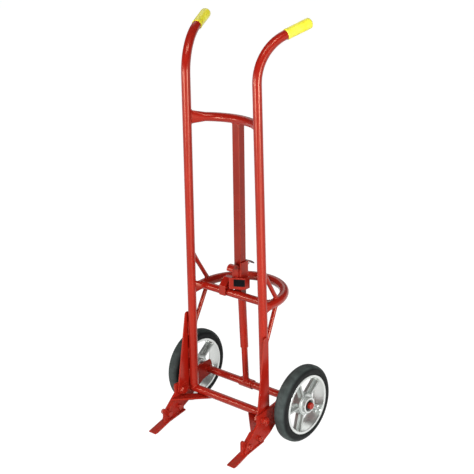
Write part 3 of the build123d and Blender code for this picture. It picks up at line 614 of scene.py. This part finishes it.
# Width of the rounding on each node
PAIR_ROUNDS = {"strap": 0.9, "foot_plate": 1.0, "gusset": 1.0, "toe": 0.9, "wheel_hub": 1.1}
SINGLE_ROUNDS = {
    "carriage_sleeve": 0.6,
    "chime_hook": 0.8,
    "latch_housing": 0.9,
    "carriage_apron": 1.2,
    "name_plate": 0.3,
    "release_lever": 0.5,
    "axle_washers": 0.4,
    "snap_rings": 0.25,
}
for side in ("left", "right"):
    for kind, size in PAIR_ROUNDS.items():
        rounded(f"{kind}_{side}", size)
for node, size in SINGLE_ROUNDS.items():
    rounded(node, size)


# Grips, tyres, bearings and hardware

def flat_arc(centre, radius, start, end, steps):
    """Points of an arc in a profile, from one angle to another in degrees."""
    turns = [math.radians(start + (end - start) * k / steps) for k in range(steps + 1)]
    return [(centre[0] + radius * math.cos(t), centre[1] + radius * math.sin(t)) for t in turns]


handle_dir = Vector((
    math.sin(HANDLE_FLARE) * math.cos(HANDLE_RISE),
    math.cos(HANDLE_FLARE) * math.cos(HANDLE_RISE),
    math.sin(HANDLE_RISE),
))
dome_ball = (GRIP_R**2 + GRIP_DOME**2) / (2 * GRIP_DOME)
dome_half = math.degrees(math.asin(GRIP_R / dome_ball))
dome = flat_arc((GRIP_DOME - dome_ball, 0), dome_ball, dome_half - 4, 2, 14)
GRIP_BORE_R = RAIL_R + 0.1
GRIP_MOUTH = -GRIP_LENGTH
# From inside the mouth over its thick lip and the slightly hollow sleeve to the domed end
grip_profile = [
    (GRIP_MOUTH + 4.0, GRIP_BORE_R),
    (GRIP_MOUTH, GRIP_BORE_R),
    (GRIP_MOUTH, RAIL_R + 1.4),
    (GRIP_MOUTH + 0.7, GRIP_R - 0.9),
    (GRIP_MOUTH + 1.9, GRIP_R - 0.1),
    (GRIP_MOUTH + 4.5, GRIP_R),
    (GRIP_MOUTH + 7.5, GRIP_R - 0.5),
    (GRIP_MOUTH + 30.0, GRIP_R - 0.35),
    (GRIP_MOUTH + 60.0, GRIP_R - 0.15),
    (-8.0, GRIP_R - 0.05),
    (-2.5, GRIP_R - 0.25),
    (-0.6, GRIP_R - 0.75),
    *dome,
    (GRIP_DOME, 0.0),
]
handle_end = rail_point(BEND_Z) + handle_dir * HANDLE_LENGTH
for side, sign in (("right", 1), ("left", -1)):
    shape = Shape()
    flip = Vector((sign, 1, 1))
    shape.lathe(grip_profile, handle_end * flip, handle_dir * flip, steps=72)
    made = shape.piece(f"grip_sleeve_{side}", "frame", "yellow_grip", [YELLOW], smooth=50.0)
    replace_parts(made, f"grip_{side}")

SHOULDER_X = 4.0
SHOULDER_R = 19.0
GROOVE_DEPTH = 0.4
shoulder = (SHOULDER_X, TYRE_R - SHOULDER_R)
# From the crown over the shoulder, with a shallow band sunk into it, to the bead on the rim
half_tyre = [
    (0.0, TYRE_R),
    *flat_arc(shoulder, SHOULDER_R, 90, 62, 6),
    *flat_arc(shoulder, SHOULDER_R - GROOVE_DEPTH, 57, 30, 6),
    *flat_arc(shoulder, SHOULDER_R, 26, 4, 5),
    (22.8, 104.0),
    (22.3, 102.6),
    (21.5, 101.9),
    (21.5, 101.2),
    (22.0, 100.4),
    (21.7, 99.3),
    (20.8, 98.4),
    (20.0, 98.05),
]
tyre_profile = half_tyre + [(-x, r) for x, r in half_tyre[:0:-1]]
BEARING_FACE = 26.0
BEARING_STEPS = 72
# Sections of a bearing, inward from the face of the hub: outer ring, seal, inner ring
outer_ring = [
    (-1.0, 19.9), (-0.4, 19.9), (-0.1, 19.3), (-0.1, 17.2), (-1.0, 16.8), (-13.0, 16.9), (-13.0, 19.9),
]
seal = [(-1.2, 17.0), (-1.2, 13.9), (-12.5, 13.9), (-12.5, 17.0)]
inner_ring = [(-13.0, 11.16), (-13.0, 14.0), (-0.1, 13.8), (-0.1, 11.7), (-0.4, 11.15), (-1.0, 11.15)]
for side, sign in (("right", 1), ("left", -1)):
    centre = (sign * WHEEL_X, AXLE_Y, AXLE_Z)
    body = f"wheel_{side}"
    tyre = Shape()
    tyre.lathe(tyre_profile, centre, (1, 0, 0), steps=160, closed=True)
    made = tyre.piece(f"tyre_moulded_{side}", body, "tyre_rubber", [RUBBER], smooth=40.0)
    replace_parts(made, f"tyre_{side}")
    bearings = Shape()
    for out in (1, -1):
        face = Vector(centre) + Vector((out * BEARING_FACE, 0, 0))
        for section, kind in ((outer_ring, 0), (seal, 1), (inner_ring, 0)):
            bearings.lathe(section, face, (out, 0, 0), steps=BEARING_STEPS, closed=True, kind=kind)
    made = bearings.piece(f"bearing_rings_{side}", body, "bare_steel", [STEEL, SEAL_BLACK])
    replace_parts(made, f"wheel_bearings_{side}")


CHAMFER_START = 0.97
CHAMFER_SLOPE = 0.58
PINHOLE_R = 0.01


def hexagon_radius(turn, flats):
    """Distance from the middle of a hexagon to its edge in a direction."""
    return flats / 2 / math.cos((turn % (math.pi / 3)) - math.pi / 6)


def hex_block(shape, x_from, x_to, y, z, flats, hole, sign):
    """Hexagon with chamfered corners at its x_to end, along X; hole 0 closes it."""
    steps = 72
    limit = flats / 2 * CHAMFER_START
    rings = []

    def ring(x, radius_of):
        verts = []
        for k in range(steps):
            turn = 2 * math.pi * k / steps
            radius, sunk = radius_of(turn)
            spot = (sign * (x - sunk), y + radius * math.cos(turn), z + radius * math.sin(turn))
            verts.append(Vector(spot))
        rings.append(verts)

    way = 1 if x_to > x_from else -1
    inner = max(hole, PINHOLE_R)
    ring(x_from, lambda t: (inner, 0.0))
    ring(x_from, lambda t: (hexagon_radius(t, flats), 0.0))
    ring(x_to, lambda t: (hexagon_radius(t, flats), way * (hexagon_radius(t, flats) - limit) * CHAMFER_SLOPE))
    ring(x_to, lambda t: (limit, 0.0))
    ring(x_to, lambda t: (inner, 0.0))
    if hole:
        rings.append(rings[0])
    verts = [v for r in rings for v in r]
    faces = []
    for n in range(len(rings) - 1):
        for k in range(steps):
            m = (k + 1) % steps
            faces.append([n * steps + k, n * steps + m, (n + 1) * steps + m, (n + 1) * steps + k])
    shape.add(verts, faces)


def washer_ring(shape, x_from, x_to, y, z, radius, hole, sign):
    """Flat ring along X with its outer edges broken."""
    edge = min(0.5, abs(x_to - x_from) / 3)
    profile = [
        (x_from, hole), (x_from, radius - edge), (x_from + edge, radius),
        (x_to - edge, radius), (x_to, radius - edge), (x_to, hole),
    ]
    shape.lathe(profile, (0, y, z), (sign, 0, 0), steps=64, closed=True)


# Bolt sizes: shares of the diameter, thickness of a washer, gap between pieces, end past the nut, thread
HEAD_SHARE = 0.63
NUT_SHARE = 0.8
WASHER = 2.5
GAP = 0.2
TAIL = 3.0
PITCH = 1.75
THREAD_DEPTH = 0.75
THREAD_IN_NUT = 4.0
TIP_LEAD = 0.6
TIP_CHAMFER = 1.4
THREAD_PLAY = 0.05
# y and z from the axle line and the floor, inner face from the plate, diameter, flats, washer diameter
BOLTS = (
    (-137.4, 104.0, 5.8, 16.0, 24.0, 30.0),
    (-161.0, 51.0, 10.4, 10.0, 16.0, 18.0),
    (-210.0, 43.5, 10.4, 10.0, 16.0, 18.0),
)
heads = Shape()
nuts = Shape()
washers = Shape()
for sign in (1, -1):
    for y, z, depth, diameter, flats, washer in BOLTS:
        y += AXLE_Y
        radius = diameter / 2
        inner = PLATE_INNER - depth
        outer = PLATE_OUTER + GAP
        head = inner - GAP - WASHER
        nut = PLATE_OUTER + 2 * GAP + WASHER
        nut_end = nut + NUT_SHARE * diameter
        tip = nut_end + TAIL
        bore = radius + THREAD_PLAY
        hex_block(heads, head, head - HEAD_SHARE * diameter, y, z, flats, 0.0, sign)
        threads = []
        for k in range(int((TAIL + THREAD_IN_NUT) / PITCH), 0, -1):
            x = tip - TIP_LEAD - k * PITCH
            threads += [(x, radius - THREAD_DEPTH), (x + PITCH / 2, radius - THREAD_PLAY)]
        shank = [(head, 0.0), (head, radius - THREAD_PLAY), *threads, (tip, radius - TIP_CHAMFER), (tip, 0.0)]
        heads.lathe(shank, (0, y, z), (sign, 0, 0), steps=40)
        hex_block(nuts, nut, nut_end, y, z, flats, bore, sign)
        washer_ring(washers, outer, outer + WASHER, y, z, washer / 2, bore, sign)
        washer_ring(washers, inner - WASHER, inner, y, z, washer / 2, bore, sign)
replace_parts(heads.piece("bolt_heads", "frame", "red_paint", [RED], smooth=25.0), "foot_bolts")
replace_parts(nuts.piece("hex_nuts", "frame", "red_paint", [RED], smooth=25.0), "foot_nuts")
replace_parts(washers.piece("flat_washers", "frame", "red_paint", [RED], smooth=40.0), "foot_washers")

LEVER_Y = sum(span("lever_pin", 1)) / 2
LEVER_Z = sum(span("lever_pin", 2)) / 2
pin_shape = Shape()
# From the middle of the rounded head to the plain shank
half_pin = [(14.5, 0.0), (14.4, 1.6), (14.0, 3.2), (13.4, 4.1), (12.6, 4.5), (12.5, 4.4), (12.5, 3.0)]
pin_shape.lathe(half_pin + [(-a, r) for a, r in half_pin[::-1]], (0, LEVER_Y, LEVER_Z), (1, 0, 0), steps=40)
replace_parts(pin_shape.piece("lever_rivet", "carriage", "bare_steel", [STEEL]), "lever_pin")


# Weld beads

RAIL_FOOT_SINK = 0.9
PLATE_BEAD_LEAD = 0.3
BRACE_BEAD = 1.6
MAST_BEAD = 2.0
MEMBER_SEAM_HALF = 12.8
MAST_STEPS = 120
MAST_CORNER = 0.765
STRAP_REAR = span("strap_right", 1)[1]
BAR_END = span("bottom_cross_bar", 0)[1]
# Lower and upper end of each stitch weld on a strap
STRAP_SEAMS = ((128.0, 168.0), (205.0, 245.0), (290.0, 338.0))
beads = Shape()
ring_end = rail_point(RING_Z)
ring_mid_y = AXLE_Y + RING_BACK - RING_HALF
upper_end = rail_point(UPPER_Z)
bow = AXLE_Y - UPPER_LEAD - upper_end.y
bow_radius = (upper_end.x**2 + bow**2) / (2 * bow)
bow_centre_y = AXLE_Y - UPPER_LEAD - bow_radius
upper_run = Vector((-(upper_end.y - bow_centre_y), upper_end.x, 0)).normalized()
low, rise = rail_line(1)
member_end = Vector((RING_HALF, MEMBER_Y, MEMBER_Z))
arm = Vector((RING_HALF, MEMBER_Y, RING_Z + (MEMBER_Y - ring_end.y) * math.tan(RING_TILT)))
# Line of each weld that both sides have, on the right, and the radius of its bead
lines = [
    (saddle(ring_end, (0, 1, 0), RING_PRESS, low, rise, RAIL_R), 2.6),
    (saddle(upper_end, upper_run, UPPER_PRESS, low, rise, RAIL_R), 2.0),
    (saddle(member_end, (-1, 0, 0), MEMBER_R, arm, (0, 1, 0), RING_R), 2.2),
    (saddle(low, rise, RAIL_R - RAIL_FOOT_SINK, (0, low.y, BAR_Z), (1, 0, 0), BAR_R), 2.4),
    (circle_line((PLATE_INNER - PLATE_BEAD_LEAD, AXLE_Y, AXLE_Z), (1, 0, 0), AXLE_R + 0.7), 2.2),
]
for brace_rise, lead, rail_end in BRACES:
    start = rail_point(RING_Z + brace_rise)
    foot_y = AXLE_Y - lead
    foot_x = math.sqrt(RING_HALF**2 - (foot_y - ring_mid_y) ** 2)
    foot = Vector((foot_x, foot_y, RING_Z + (foot_y - ring_end.y) * math.tan(RING_TILT)))
    tangent = Vector((ring_mid_y - foot_y, foot_x, 0)).normalized()
    run = (foot - start).normalized()
    lines.append((saddle(start, run, rail_end, low, rise, RAIL_R), BRACE_BEAD))
    lines.append((saddle(foot, -run, BRACE_R, foot, tangent, RING_R), BRACE_BEAD))
for line, radius in lines:
    beads.bead(line, radius)
    beads.bead(mirrored(line), radius)

# Welds of the mast and of the tubes below it
stub_foot = Vector((0, AXLE_Y - STUB_LEAD, AXLE_Z))
lower_dir = (Vector((0, AXLE_Y - LOWER_LEAD, MAST_FOOT_Z)) - stub_foot).normalized()
beads.bead(saddle(stub_foot, lower_dir, STUB_R, (0, AXLE_Y, AXLE_Z), (1, 0, 0), SADDLE_R), 2.3)
step_centre = stub_foot + lower_dir * ((LOWER_END_Z - AXLE_Z) / lower_dir.z)
beads.bead(circle_line(step_centre, lower_dir, STUB_R + 0.8), 1.7)
top_centre = stub_foot + lower_dir * ((MAST_FOOT_Z - AXLE_Z) / lower_dir.z)
beads.bead(circle_line(top_centre, (0, 0, 1), LOWER_R - 0.2), 1.8)
for sign in (1, -1):
    beads.bead(circle_line((sign * SADDLE_HALF, AXLE_Y, AXLE_Z), (1, 0, 0), AXLE_R + 1.0), 1.6)
    seam = Vector((-MEMBER_SEAM_HALF, MEMBER_Y + 11.8, MEMBER_Z + sign * 6.2))
    across_mast = straight(seam, seam + Vector((2 * MEMBER_SEAM_HALF, 0, 0)))
    beads.bead(across_mast, MAST_BEAD, closed=False)

# The square top of the mast, its corners cut a little, where it meets the underside of the upper tube
mast_line = []
for k in range(MAST_STEPS):
    turn = 2 * math.pi * k / MAST_STEPS
    c, s = math.cos(turn), math.sin(turn)
    reach = MAST_HALF / max(abs(c), abs(s), MAST_CORNER)
    x, y = reach * c, MAST_Y + reach * s
    tube_y = bow_centre_y + math.sqrt(bow_radius**2 - x * x)
    off = min(abs(y - tube_y), UPPER_R - 0.15)
    mast_line.append(Vector((x, y, UPPER_Z - math.sqrt(UPPER_R**2 - off * off))))
beads.bead(mast_line, MAST_BEAD)

# Stitch welds along the straps, in front of the rail and behind it, and the ends of the bottom bar
for sign in (1, -1):
    for seam_ends in STRAP_SEAMS:
        front = []
        rear = []
        for z in seam_ends:
            spot = rail_point(z, sign)
            front.append(spot + Vector((sign * (RAIL_R - 1.2), -8.0, 0)))
            rear.append(Vector((spot.x + sign * (RAIL_R + 0.9), STRAP_REAR + 0.4, z)))
        beads.bead(straight(*front), 2.2, closed=False)
        beads.bead(straight(*rear), 1.8, closed=False)
    bar_end = (sign * (BAR_END - 0.6), AXLE_Y - RAIL_LEAD[0], BAR_Z)
    beads.bead(circle_line(bar_end, (1, 0, 0), BAR_R + 0.2), 1.8)
beads.piece("weld_beads", "frame", "red_paint", [RED], smooth=60.0)

SLEEVE_FRONT = span("carriage_sleeve", 1)[0]
SLEEVE_HALF = span("carriage_sleeve", 0)[1]
HOUSING_TOP = span("latch_housing", 2)[1]
APRON_TOP = span("carriage_apron", 2)[1]
HOOK_SEAM_HALF = 12.6
HOOK_SEAM = 22.0
APRON_SEAM = 17.0
HOUSING_SEAM = 21.0
HOOK_BEAD = 1.5
SLEEVE_BEAD = 1.6
SEAM_GAP = 0.2
# Welds of the hook, the apron and the housing on the sleeve
carriage_beads = Shape()
for sign in (1, -1):
    seam = Vector((sign * HOOK_SEAM_HALF, SLEEVE_FRONT - 0.6, HOUSING_TOP + 2.0))
    carriage_beads.bead(straight(seam, seam + Vector((0, 0, HOOK_SEAM))), HOOK_BEAD, closed=False)
seam = Vector((-SLEEVE_HALF - SEAM_GAP, SLEEVE_FRONT + 2.0, APRON_TOP + SEAM_GAP))
carriage_beads.bead(straight(seam, seam + Vector((0, APRON_SEAM, 0))), SLEEVE_BEAD, closed=False)
seam = Vector((SLEEVE_HALF + SEAM_GAP, SLEEVE_FRONT + 3.0, HOUSING_TOP + SEAM_GAP))
carriage_beads.bead(straight(seam, seam + Vector((0, HOUSING_SEAM, 0))), SLEEVE_BEAD, closed=False)
carriage_beads.piece("weld_beads_carriage", "carriage", "red_paint", [RED], smooth=60.0)


# Stage: floor, studio light and the photograph's camera

def seen_share(tree):
    """1 for rays from the camera, mirrors and glass, 0 for the light that falls on things."""
    path = tree.nodes.new("ShaderNodeLightPath")
    share = path.outputs["Is Camera Ray"]
    for name in ("Is Glossy Ray", "Is Transmission Ray"):
        larger = tree.nodes.new("ShaderNodeMath")
        larger.operation = "MAXIMUM"
        tree.links.new(share, larger.inputs[0])
        tree.links.new(path.outputs[name], larger.inputs[1])
        share = larger.outputs[0]
    return share


def paired(tree, kind, first, second):
    """Mix or sum of two shaders."""
    made = tree.nodes.new(kind)
    slots = made.inputs[-2:]
    tree.links.new(first.outputs[0], slots[0])
    tree.links.new(second.outputs[0], slots[1])
    return made


# Floor: a wide grey sheet that takes the shadow, with the glow that the eye and mirrors see
FLOOR_HALF = 60.0
FLOOR_GREY = 0.22
FLOOR_GLOW = 0.965
floor_mesh = bpy.data.meshes.new("floor")
corners = [(x * FLOOR_HALF, y * FLOOR_HALF, 0) for x, y in ((-1, -1), (1, -1), (1, 1), (-1, 1))]
floor_mesh.from_pydata(corners, [], [(0, 1, 2, 3)])
floor_look = bpy.data.materials.new("floor")
floor_look.use_nodes = True
tree = floor_look.node_tree
tree.nodes.clear()
matte = tree.nodes.new("ShaderNodeBsdfDiffuse")
matte.inputs["Color"].default_value = (FLOOR_GREY, FLOOR_GREY, FLOOR_GREY, 1)
dark = tree.nodes.new("ShaderNodeEmission")
dark.inputs["Strength"].default_value = 0.0
glow = tree.nodes.new("ShaderNodeEmission")
glow.inputs["Strength"].default_value = FLOOR_GLOW
lit = paired(tree, "ShaderNodeMixShader", dark, glow)
tree.links.new(seen_share(tree), lit.inputs[0])
floor_sum = paired(tree, "ShaderNodeAddShader", matte, lit)
out = tree.nodes.new("ShaderNodeOutputMaterial")
tree.links.new(floor_sum.outputs[0], out.inputs[0])
floor_mesh.materials.append(floor_look)
floor = bpy.data.objects.new("floor", floor_mesh)
bpy.context.scene.collection.objects.link(floor)

# World: white at the level of the eye, dim above it
AMBIENT = 0.09
PALE_RISE = 0.02
DIM_RISE = 0.10
world = bpy.data.worlds.new("studio")
bpy.context.scene.world = world
world.use_nodes = True
tree = world.node_tree
tree.nodes.clear()
way = tree.nodes.new("ShaderNodeTexCoord")
parts = tree.nodes.new("ShaderNodeSeparateXYZ")
tree.links.new(way.outputs["Generated"], parts.inputs[0])
climb = tree.nodes.new("ShaderNodeMapRange")
tree.links.new(parts.outputs["Z"], climb.inputs["Value"])
for key, value in (("From Min", PALE_RISE), ("From Max", DIM_RISE), ("To Min", 1.0), ("To Max", AMBIENT)):
    climb.inputs[key].default_value = value
sky = tree.nodes.new("ShaderNodeBackground")
sky.inputs["Color"].default_value = (1, 1, 1, 1)
tree.links.new(climb.outputs[0], sky.inputs["Strength"])
out = tree.nodes.new("ShaderNodeOutputWorld")
tree.links.new(sky.outputs[0], out.inputs[0])

# Camera: angle, place and lens of the photograph
AZIMUTH = math.radians(40.7711)
ELEVATION = math.radians(18.7934)
ROLL = math.radians(-0.8308)
CAMERA_AT = point(2156.249, -2460.230, 1772.328)
FOCAL_PX = 1104.2696
IMAGE_PX = 474
SENSOR = 36.0
HALF_PIXEL = 0.5
back = Vector((math.sin(AZIMUTH) * math.cos(ELEVATION), -math.cos(AZIMUTH) * math.cos(ELEVATION),
               math.sin(ELEVATION)))
level = Vector((math.cos(AZIMUTH), math.sin(AZIMUTH), 0))
upright = back.cross(level)
right = level * math.cos(ROLL) + upright * math.sin(ROLL)
up = upright * math.cos(ROLL) - level * math.sin(ROLL)
camera_data = bpy.data.cameras.new("camera")
camera_data.sensor_width = SENSOR
camera_data.lens = FOCAL_PX / IMAGE_PX * SENSOR
camera_data.shift_x = -HALF_PIXEL / IMAGE_PX
camera_data.shift_y = HALF_PIXEL / IMAGE_PX
camera = bpy.data.objects.new("camera", camera_data)
camera.matrix_world = Matrix((
    (right.x, up.x, back.x, CAMERA_AT.x),
    (right.y, up.y, back.y, CAMERA_AT.y),
    (right.z, up.z, back.z, CAMERA_AT.z),
    (0, 0, 0, 1),
))
bpy.context.scene.collection.objects.link(camera)
bpy.context.scene.camera = camera


# Lamps

def lamp_at(name, kind, turn, climb, distance, aim_height, **settings):
    """Lamp that points at a height over the origin, from an angle right of the camera and above level."""
    toward = Vector((back.x, back.y, 0)).normalized()
    flat = toward * math.cos(math.radians(turn)) + level * math.sin(math.radians(turn))
    way = flat * math.cos(math.radians(climb)) + Vector((0, 0, math.sin(math.radians(climb))))
    lamp = bpy.data.lights.new(name, kind)
    for key, value in settings.items():
        setattr(lamp, key, value)
    holder = bpy.data.objects.new(name, lamp)
    holder.location = Vector((0, 0, aim_height)) + way * distance
    holder.rotation_euler = way.to_track_quat("Z", "Y").to_euler()
    bpy.context.scene.collection.objects.link(holder)


# Turn and climb in degrees, distance and height of the aim in metres, watts, width and height in metres
AREA_LAMPS = {
    "key_left": (-26, 54, 2.4, 0.80, 13.0, 0.5, 0.5),
    "key_right": (18, 54, 2.4, 0.80, 13.0, 0.5, 0.5),
    "strip_left": (-47, 0, 3.5, 0.60, 66.0, 1.05, 0.5),
    "strip_right": (40, 0, 3.5, 0.60, 74.0, 1.05, 0.5),
    "low": (16, 8, 1.5, 0.15, 7.0, 1.0, 0.7),
    "ring_light": (-80, 12, 2.2, 0.50, 10.0, 0.5, 0.3),
}
for name, (turn, lift, distance, aim_height, watts, wide, high) in AREA_LAMPS.items():
    lamp_at(name, "AREA", turn, lift, distance, aim_height,
            energy=watts, shape="RECTANGLE", size=wide, size_y=high)
FILL_SOFTNESS = math.radians(40)
lamp_at("fill", "SUN", 180, 40, 5.0, 0.60, energy=0.5, angle=FILL_SOFTNESS)

bpy.context.scene.view_settings.view_transform = "Standard"
